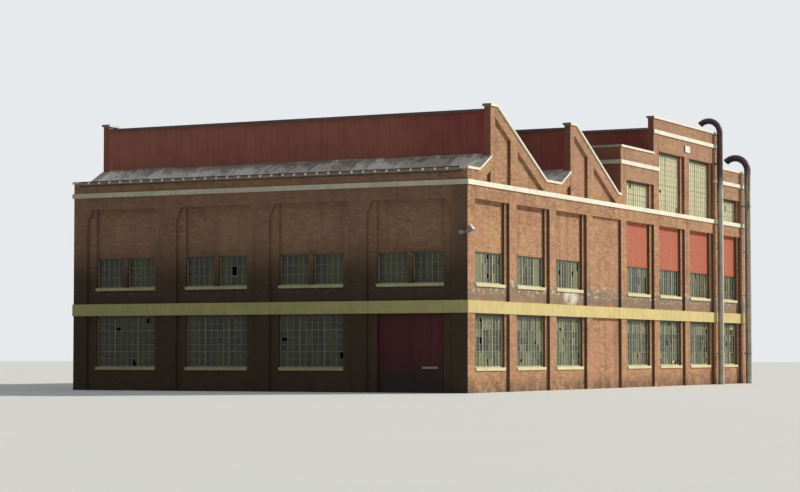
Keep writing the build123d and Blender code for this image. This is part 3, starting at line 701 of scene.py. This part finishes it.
def addBand(mesh, spot, axis, radius, out, high, sides):
    # A square-edged ring round a pipe, a little sunk into it
    sink = 0.002
    square = (Matrix.Translation(spot) @ pointed(axis) @ Matrix.Translation((radius + (out - sink) / 2, 0, 0))
              @ Matrix.Diagonal((out + sink, 1, high, 1)) @ Matrix.Rotation(math.pi / 2, 4, "X")
              @ Matrix.Rotation(math.pi / 4, 4, "Z"))
    made = bmesh.ops.create_circle(mesh, cap_ends=False, segments=4, radius=math.sqrt(0.5), matrix=square)
    edges = list({e for v in made["verts"] for e in v.link_edges})
    bmesh.ops.spin(mesh, geom=edges + made["verts"], cent=spot, axis=Vector(axis).normalized(),
                   dvec=(0, 0, 0), angle=2 * math.pi, steps=sides, use_merge=True, use_duplicate=False)


def finishPiece(name, mesh, materials, body="building", smooth=False):
    data = bpy.data.meshes.new(name)
    mesh.to_mesh(data)
    mesh.free()
    for material in materials:
        data.materials.append(material)
    if smooth:
        data.shade_smooth()
        data.set_sharp_from_angle(angle=math.radians(32))
    piece = placed(name, data)
    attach(piece, body)
    return piece


def islandBoxes(nodeName):
    # The separate solids of a CAD node, as boxes
    mesh = bmesh.new()
    mesh.from_mesh(cadNodes[nodeName].data)
    bmesh.ops.remove_doubles(mesh, verts=mesh.verts, dist=0.0001)
    left, found = set(mesh.verts), []
    while left:
        queue, island = [left.pop()], []
        while queue:
            vert = queue.pop()
            island.append(vert.co.copy())
            for edge in vert.link_edges:
                other = edge.other_vert(vert)
                if other in left:
                    left.remove(other)
                    queue.append(other)
        found.append((Vector(map(min, *island)), Vector(map(max, *island))))
    mesh.free()
    return sorted(found, key=lambda item: [round(value, 2) for value in (item[0].z, item[0].x, item[0].y)])


# Steel windows: panes and glazing bars in the place of each sheet of glass
windowLook = {
    # Bars are as wide as the first value and stand out by the second
    "bar": (0.024, 0.016), "mullion": (0.052, 0.026), "cross": (0.014, 0.0128),
    "heavyCross": (0.0286, 0.0234), "barIn": 0.012, "frameWide": 0.055, "lintelShadowOut": (0.0295, 0.042),
    "paneThick": 0.004, "tilt": 0.008, "overlap": 0.008, "seed": 8,
    "upperFrom": 3.0, "highFrom": 8.0, "mullionsOver": 5,   # columns
    # kinds: shares of dark, green, dusty, pale, yellow and missing panes, up to each share of the height
    # own: how many panes differ from the rest of their column
    # darkColumn: how many windows have one darker column; darkAtEnds: how many columns of the end windows get
    # dark panes, as painted shade
    "ground": {
        "pane": (0.30, 0.317), "lintelHigh": 0.11, "broken": 0.03, "own": 0.35, "darkColumn": 0.35,
        "darkAtEnds": 0.6, "mullionsAt": (1 / 3, 2 / 3),
        "kinds": ((0.28, (0.14, 0.52, 0.32, 0.003, 0.0, 0.015)), (0.72, (0.60, 0.28, 0.09, 0.0, 0.0, 0.03)),
                  (1.01, (0.12, 0.48, 0.38, 0.01, 0.0, 0.01))),
    },
    "upper": {
        "pane": (0.285, 0.43), "lintelHigh": 0.06, "broken": 0.012, "own": 0.25, "darkColumn": 0.35,
        "darkAtEnds": 0.25, "mullionsAt": (1 / 3, 2 / 3),
        "kinds": ((1.01, (0.42, 0.42, 0.15, 0.0, 0.0, 0.01)),),
    },
    "high": {
        "pane": (0.307, 0.255), "lintelHigh": 0.11, "broken": 0.002, "own": 1.0, "darkColumn": 0.0,
        "darkAtEnds": 0.0, "mullionsAt": (0.43,),
        "kinds": ((1.01, (0.002, 0.003, 0.005, 0.84, 0.149, 0.001)),),
    },
}
dark, green, dusty = range(3)
missing = len(paneKinds)


def readOpening(low, high):
    # What panes and bars need to know of one opening; places in it are given across it, up it and outwards
    look = windowLook
    across = 0 if high.x - low.x > high.y - low.y else 1
    middle = (low[1 - across] + high[1 - across]) / 2
    family = "ground" if low.z < look["upperFrom"] else "upper" if low.z < look["highFrom"] else "high"
    wide, tall = high[across] - low[across], high.z - low.z
    columns, rows = [max(1, round(length / pane)) for length, pane in zip((wide, tall), look[family]["pane"])]
    return SimpleNamespace(low=low, high=high, across=across, middle=middle, side=-1 if middle < 0 else 1,
                           family=family, columns=columns, rows=rows, stepU=wide / columns, stepZ=tall / rows)


def addBlock(mesh, hole, u0, u1, z0, z1, n0, n1, index=0, turn=None):
    first, second = Vector((0, 0, z0)), Vector((0, 0, z1))
    for corner, u, n in ((first, u0, n0), (second, u1, n1)):
        corner[hole.across] = u
        corner[1 - hole.across] = hole.middle + hole.side * n
    verts = addBox(mesh, Vector(map(min, first, second)), Vector(map(max, first, second)), index, turn)
    return verts, (first + second) / 2


def addSlab(mesh, hole, u0, u1, z0, z1, *rest):
    # A block kept inside its opening
    u0, u1 = max(u0, hole.low[hole.across]), min(u1, hole.high[hole.across])
    return addBlock(mesh, hole, u0, u1, max(z0, hole.low.z), min(z1, hole.high.z), *rest)


def columnKinds(dice, family, rows):
    # Most of a column has one kind of pane, so that a window reads as upright strips
    kinds, band, held = [], None, 0
    for row in range(rows):
        top, weights = next(pair for pair in family["kinds"] if (row + 0.5) / rows < pair[0])
        fresh = dice.choices(range(len(weights)), weights)[0]
        if top != band:
            band, held = top, min(fresh, dusty)
        kinds.append(fresh if dice.random() < family["own"] else held)
    return kinds


def breakPane(mesh, verts, middle, across, dice):
    cut = Vector((0, 0, dice.uniform(-1, 1)))
    cut[across] = dice.uniform(-1, 1)
    faces = list({f for v in verts for f in v.link_faces})
    edges = list({e for f in faces for e in f.edges})
    made = bmesh.ops.bisect_plane(mesh, geom=list(verts) + edges + faces, plane_co=middle,
                                  plane_no=cut.normalized(), clear_outer=True)
    bmesh.ops.edgenet_fill(mesh, edges=[e for e in made["geom_cut"] if isinstance(e, bmesh.types.BMEdge)])


def setPanes(mesh, hole, dice):
    look, family, across = windowLook, windowLook[hole.family], hole.across
    darkColumn = dice.randrange(hole.columns) if dice.random() < family["darkColumn"] else -1
    lap, half = look["overlap"], look["paneThick"] / 2
    for column in range(hole.columns):
        # end windows get dark columns: painted shade
        darker = column == darkColumn or across and dice.random() < family["darkAtEnds"]
        for row, kind in enumerate(columnKinds(dice, family, hole.rows)):
            if darker and kind in (green, dusty):
                kind = dark
            # Painted shade: dusty panes of the end windows turn green
            elif across and kind == dusty and hole.family != "high":
                kind = green   # the end windows are darker
            elif hole.side > 0 and kind == missing:
                kind = dark   # no daylight comes through gaps from behind
            if kind == missing:
                continue
            turn = (Matrix.Rotation(dice.uniform(-1, 1) * look["tilt"], 4, "Z")
                    @ Matrix.Rotation(dice.uniform(-1, 1) * look["tilt"], 4, "XY"[across]))
            u, z = hole.low[across] + column * hole.stepU, hole.low.z + row * hole.stepZ
            verts, centre = addSlab(mesh, hole, u - lap, u + hole.stepU + lap, z - lap, z + hole.stepZ + lap,
                                    -half, half, kind, turn)
            if dice.random() < family["broken"]:
                breakPane(mesh, verts, centre, across, dice)


def setBars(mesh, hole):
    look, family = windowLook, windowLook[hole.family]
    low, high, rows = hole.low, hole.high, hole.rows
    left, right, edge = low[hole.across], high[hole.across], look["frameWide"]
    top = high.z + edge
    foot = top - family["lintelHigh"]
    # A lintel strip across each head, near black: painted shadow under the head
    addBlock(mesh, hole, left - edge, right + edge, foot, top, *look["lintelShadowOut"], lintelShadows)
    # Bars of the left end and plain cross bars take the shaded bar paint: painted shade
    tint = highBars if hole.family == "high" else shadedBars if hole.across and low.x < 0 else plainBars
    crossTint = shadedBars if tint == plainBars else tint   # plain cross bars look darker
    heavy = set()
    if hole.columns > look["mullionsOver"]:
        heavy = {round(hole.columns * share) for share in family["mullionsAt"]}
    for column in range(1, hole.columns):
        u = left + column * hole.stepU
        wide, out = look["mullion" if column in heavy else "bar"]
        addSlab(mesh, hole, u - wide / 2, u + wide / 2, low.z, high.z, -look["barIn"], out, tint)
    # Heavy cross bars, counted from the foot
    heavy = {"ground": {2, 5}, "upper": set(), "high": {5} if rows > 6 else {2}}[hole.family]
    for row in range(1, rows):
        z = low.z + row * hole.stepZ
        wide, out = look["heavyCross" if row in heavy else "cross"]
        addSlab(mesh, hole, left, right, z - wide / 2, z + wide / 2, -look["barIn"], out, crossTint)


def dressWindows(nodeName, seed):
    dice = random.Random(seed)
    panes, bars = bmesh.new(), bmesh.new()
    for low, high in islandBoxes(nodeName):
        hole = readOpening(low, high)
        setPanes(panes, hole, dice)
        setBars(bars, hole)
    first, *rest = nodeName.split("_")
    name = first + "".join(word.capitalize() for word in rest)
    piece = finishPiece(name + "Panes", panes, paneKinds)
    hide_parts(nodeName)
    finishPiece(name + "Bars", bars, barKinds)


glassNodes = ("front_glass", "back_glass", "right_glass", "left_ground_glass", "left_upper_glass")
for seed, nodeName in enumerate(glassNodes, start=windowLook["seed"]):
    dressWindows(nodeName, seed)
print("windows glazed")


# Ducts: open sheet metal pipes with a hooked top, seams, collars and wall plates
ductLook = {
    "turn": 134.0, "sides": 40, "steps": 14, "skin": 0.006,
    "seamEvery": 1.22, "seamHigh": 0.016, "seamOut": 0.006,
    "collarHigh": 0.06, "collarOut": 0.016, "lipHigh": 0.035, "lipOut": 0.010,
    "wallFace": -9.58, "armWide": 0.06, "armSunk": 0.004, "plateWide": 0.17, "plateThick": 0.012,
    "boltRadius": 0.011, "boltHigh": 0.012, "boltOut": 0.004, "boltAt": 0.7,   # of the way to a corner
    "pipes": {
        "duct_tall": {"piece": "ductTallPipe", "radius": 0.160, "bend": 0.630,
                      "collars": (1.62, 4.75, 7.085, 9.585, 11.56)},
        "duct_low": {"piece": "ductLowPipe", "radius": 0.185, "bend": 0.710,
                     "collars": (1.62, 4.75, 7.085, 9.585)},
    },
}


def tubeWall(mesh, foot, straight, bend, radius):
    made = bmesh.ops.create_circle(mesh, cap_ends=False, segments=ductLook["sides"], radius=radius,
                                   matrix=Matrix.Translation(foot))
    start = list({e for v in made["verts"] for e in v.link_edges})
    grown = bmesh.ops.extrude_edge_only(mesh, edges=start)["geom"]
    top = [g for g in grown if isinstance(g, bmesh.types.BMVert)]
    bmesh.ops.translate(mesh, verts=top, vec=(0, 0, straight))
    topSet = set(top)
    ring = [g for g in grown if isinstance(g, bmesh.types.BMEdge) and topSet.issuperset(g.verts)]
    spun = bmesh.ops.spin(mesh, geom=ring + top, cent=(foot.x, foot.y + bend, straight), axis=(1, 0, 0),
                          dvec=(0, 0, 0), angle=math.radians(-ductLook["turn"]), steps=ductLook["steps"],
                          use_duplicate=False)
    end = [g for g in spun["geom_last"] if isinstance(g, bmesh.types.BMEdge)]
    return start, end


def addBracket(pipe, foot, height, radius):
    # An arm from the pipe to a bolted plate on the wall
    look = ductLook
    face, arm, plate = look["wallFace"], look["armWide"] / 2, look["plateWide"] / 2
    plateFace, start = face - look["plateThick"], foot.y + radius - look["armSunk"]
    addBox(pipe, (foot.x - arm, start, height - arm), (foot.x + arm, face, height + arm))
    addBox(pipe, (foot.x - plate, plateFace, height - plate), (foot.x + plate, face, height + plate))
    reach = look["boltAt"] * plate
    for dx in (-reach, reach):
        for dz in (-reach, reach):
            bolt = (foot.x + dx, plateFace - look["boltOut"], height + dz)
            addStud(pipe, bolt, (0, -1, 0), look["boltRadius"], look["boltHigh"])


def makeDuct(nodeName):
    look, shape = ductLook, ductLook["pipes"][nodeName]
    radius, bend = shape["radius"] - look["seamOut"], shape["bend"]
    low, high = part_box(nodeName)
    foot = Vector(((low.x + high.x) / 2, low.y + radius + look["collarOut"], 0))
    straight = high.z - shape["radius"] - bend
    pipe = bmesh.new()
    outer = tubeWall(pipe, foot, straight, bend, radius)
    inner = tubeWall(pipe, foot, straight, bend, radius - look["skin"])
    for first, second in zip(outer, inner):
        bmesh.ops.bridge_loops(pipe, edges=first + second)

    def band(spot, axis, kind):
        addBand(pipe, spot, axis, radius, look[kind + "Out"], look[kind + "High"], look["sides"])

    hub = foot + Vector((0, bend, straight))
    gores = look["steps"] // 2
    for step in range(gores + 1):
        angle = math.radians(180 - look["turn"] * step / gores)
        spot = hub + bend * Vector((0, math.cos(angle), math.sin(angle)))
        along = Vector((0, math.sin(angle), -math.cos(angle)))
        if step < gores:
            band(spot, along, "seam")
        else:
            band(spot - along * look["lipHigh"] / 2, along, "lip")
    for step in range(1, int(straight / look["seamEvery"]) + 1):
        band(foot + Vector((0, 0, step * look["seamEvery"])), (0, 0, 1), "seam")
    for height in shape["collars"]:
        band(foot + Vector((0, 0, height)), (0, 0, 1), "collar")
        addBracket(pipe, foot, height, radius)
    bmesh.ops.recalc_face_normals(pipe, faces=pipe.faces[:])
    piece = finishPiece(shape["piece"], pipe, [finishes["duct_metal"]], smooth=True)
    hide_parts(nodeName)


for nodeName in ductLook["pipes"]:
    makeDuct(nodeName)
print("ducts made")


# Weathered sheet laid on the rises at the feet of the saw teeth, and the flashing above it
curbLook = {
    "run": 1.15, "rise": 0.61, "wide": 1.16, "lap": 0.05, "thick": 0.004, "lift": (0.003, 0.016),
    "skew": 0.007, "reach": (0.955, 0.995), "flatReach": 0.99, "shares": (0.40, 0.38, 0.22),
    "flashHigh": (0.055, 0.085), "flashThick": 0.006, "flashLap": 0.01, "seed": 21,
}


def layCurbSheets():
    look = curbLook
    dice = random.Random(look["seed"])
    mesh = bmesh.new()
    run, rise = look["run"], look["rise"]
    slope, long = math.atan2(rise, run), math.hypot(rise, run)

    def lay(middle, size, tilt, kind):
        turn = Matrix.Rotation(-tilt, 4, "Y") @ Matrix.Rotation(dice.uniform(-1, 1) * look["skew"], 4, "Z")
        addBox(mesh, middle - size / 2, middle + size / 2, kind, turn)

    for low, high in islandBoxes("rise_roofs"):
        count = round((high.y - low.y) / look["wide"])
        step = (high.y - low.y) / count
        flat = high.x - low.x - run
        for index in range(count):
            y = low.y + (index + 0.5) * step
            kind = dice.choices((0, 1, 2), look["shares"])[0]
            lift = dice.uniform(*look["lift"])
            wide = step + (look["lap"] if 0 < index < count - 1 else 0.0)
            out, up = math.sin(slope) * lift, math.cos(slope) * lift
            middle = Vector((high.x - run / 2 - out, y, high.z - rise / 2 + up))
            lay(middle, Vector((long * dice.uniform(*look["reach"]), wide, look["thick"])), slope, kind)
            if flat > 0.1:
                middle = Vector((low.x + flat / 2, y, high.z - rise + lift * 0.5))
                lay(middle, Vector((flat * look["flatReach"], wide, look["thick"])), 0.0, kind)
            top = high.z + dice.uniform(*look["flashHigh"])
            addBox(mesh, (high.x - look["flashThick"], y - step / 2, high.z - look["flashLap"]),
                   (high.x, y + step / 2, top), (kind + 1) % 3)
    finishPiece("curbSheets", mesh, curbSheets)


layCurbSheets()

# Laps of the red cladding and the dark trim along each ridge
claddingLook = {"every": 0.82, "wide": 0.035, "out": 0.006, "foot": 0.43,
                "trimHigh": 0.105, "trimOut": 0.004, "trimIn": 0.11}


def trimCladding():
    look = claddingLook
    half, out = look["wide"] / 2, look["trimOut"]
    laps, trim = bmesh.new(), bmesh.new()
    for low, high in islandBoxes("light_walls"):
        count = int((high.y - low.y) / look["every"])
        for index in range(1, count + 1):
            y = low.y + index * look["every"]
            foot = (low.x - look["out"], y - half, low.z + look["foot"])
            addBox(laps, foot, (low.x + trimSunk, y + half, high.z))
    for low, high in islandBoxes("saw_roofs"):
        top = high.z + out
        addBox(trim, (low.x - out, low.y, high.z - look["trimHigh"]), (low.x + trimSunk, high.y, top))
        addBox(trim, (low.x, low.y, high.z - trimSunk), (low.x + look["trimIn"], high.y, top))
    finishPiece("claddingLaps", laps, [finishes["oxide_cladding"]])
    finishPiece("ridgeTrims", trim, [paints["ridgeTrim"]])


trimCladding()

# Painted ends of the gutter straps
strapLook = {"pitch": 0.545, "wide": 0.10, "lip": 0.083, "skin": 0.003, "reach": 0.136}


def makeStrapEnds():
    look = strapLook
    half, skin = look["wide"] / 2, look["skin"]
    low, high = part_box("eaves_gutter")
    top = high.z + skin
    mesh = bmesh.new()
    count = int((high.y - low.y) / look["pitch"])
    for index in range(count):
        y = (index - (count - 1) / 2) * look["pitch"]
        addBox(mesh, (low.x - skin, y - half, high.z - look["lip"]), (low.x + trimSunk, y + half, top))
        addBox(mesh, (low.x, y - half, high.z - trimSunk), (low.x + look["reach"], y + half, top))
    finishPiece("gutterStrapEnds", mesh, [paints["strapPaint"]])


makeStrapEnds()

# Lamp lens and its rim
lampLook = {"radius": 0.16, "tilt": 40.0, "segments": 32, "rings": 12, "bulge": 0.12,
            "rim": 0.014, "rimHigh": 0.02, "rimBack": 0.004, "rimSides": 40}


def makeLampGlass():
    look = lampLook
    low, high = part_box("corner_lamp")
    tilt = math.radians(look["tilt"])
    axis = Vector((0, -math.cos(tilt), math.sin(tilt)))
    radius, lens = look["radius"], look["radius"] - look["rim"]
    centre = Vector((low.x + radius, low.y + radius * math.sin(tilt), high.z - radius * math.cos(tilt)))
    flattened = Matrix.Translation(centre) @ pointed(axis) @ Matrix.Diagonal((1, 1, look["bulge"], 1))
    mesh = bmesh.new()
    bmesh.ops.create_uvsphere(mesh, u_segments=look["segments"], v_segments=look["rings"], radius=lens,
                              matrix=flattened)
    finishPiece("lampGlass", mesh, [lampLens], smooth=True)
    rim = bmesh.new()
    addBand(rim, centre - axis * look["rimBack"], axis, lens, look["rim"], look["rimHigh"], look["rimSides"])
    bmesh.ops.recalc_face_normals(rim, faces=rim.faces[:])
    finishPiece("lampRim", rim, [paints["lampGrey"]], smooth=True)


makeLampGlass()

# Bolts through the strap hinges; each leaf has its pin line and the way it reaches from there
boltLook = {
    "heights": (0.5355, 1.5765, 2.6175), "along": (0.12, 0.25, 0.38, 0.50), "radius": 0.012, "high": 0.008,
    "face": -17.478, "sides": 6, "leaves": {"leaf_back": (-5.496, -1), "leaf_front": (-8.364, 1)},
}


def makeHingeBolts():
    look = boltLook
    for body, (pinLine, side) in look["leaves"].items():
        mesh = bmesh.new()
        for height in look["heights"]:
            for reach in look["along"]:
                spot = (look["face"], pinLine + side * reach, height)
                addStud(mesh, spot, (-1, 0, 0), look["radius"], look["high"], look["sides"])
        name = "hingeBolts" + ("Back" if side < 0 else "Front")
        finishPiece(name, mesh, [paints["ridgeTrim"]], body)


makeHingeBolts()
print("small fittings made")


# Stage
stageLook = {"size": 700.0, "drop": 0.001, "floor": (0.78, 0.78, 0.76), "rough": 0.9}


def makeFloor():
    look = stageLook
    mesh = bmesh.new()
    bmesh.ops.create_grid(mesh, x_segments=1, y_segments=1, size=look["size"] / 2,
                          matrix=Matrix.Translation((0, 0, -look["drop"])))
    data = bpy.data.meshes.new("paleFloor")
    mesh.to_mesh(data)
    mesh.free()
    material, tree, shader = makeMaterial("paleFloor", 0.2)
    cloud = noise(surface(tree)["spot"], 0.3, 3.0)
    color = tinted(look["floor"], (cloud, 1, [c * 0.97 for c in look["floor"]]))
    feed(shader["Base Color"], color)
    shader["Roughness"].default_value = look["rough"]
    data.materials.append(material)
    floor = placed("paleFloor", data)


makeFloor()

# Light: a soft sun from the front right, a weak wide one from above the left end, and a pale sky
lightLook = {
    # The way to the lamp, its strength, colour and angle
    "softSun": ((0.656, -0.590, 0.485), 3.5, (1.0, 0.95, 0.86), 3.0),
    "softFill": ((-0.30, -0.15, 0.94), 0.45, (0.90, 0.95, 1.0), 70.0),
}
skyLook = {"sky": ((0.86, 0.92, 1.0), 0.20), "background": ((0.80, 0.82, 0.84), 1.0)}


def makeLight():
    for name, (toward, strength, color, angle) in lightLook.items():
        data = bpy.data.lights.new(name, "SUN")
        data.energy = strength
        data.color = color
        data.angle = math.radians(angle)
        lamp = placed(name, data)
        lamp.rotation_mode = "QUATERNION"
        lamp.rotation_quaternion = Vector(toward).to_track_quat("Z", "Y")


def makeSky():
    world = bpy.data.worlds.new("paleSky")
    scene.world = world
    world.use_nodes = True
    tree = world.node_tree
    tree.nodes.clear()
    rays = shade(tree, "LightPath").outputs
    bounced = larger(rays["Is Glossy Ray"], rays["Is Transmission Ray"])
    mix = shade(tree, "MixShader", {"Fac": larger(rays["Is Camera Ray"], bounced)})
    for socket, (color, strength) in zip(mix.inputs[1:], skyLook.values()):
        light = shade(tree, "Background", {"Color": (*color, 1), "Strength": strength})
        tree.links.new(light.outputs[0], socket)
    out = shade(tree, "OutputWorld")
    tree.links.new(mix.outputs[0], out.inputs["Surface"])


makeLight()
makeSky()
scene.view_settings.view_transform = "Standard"
print("stage and light set")
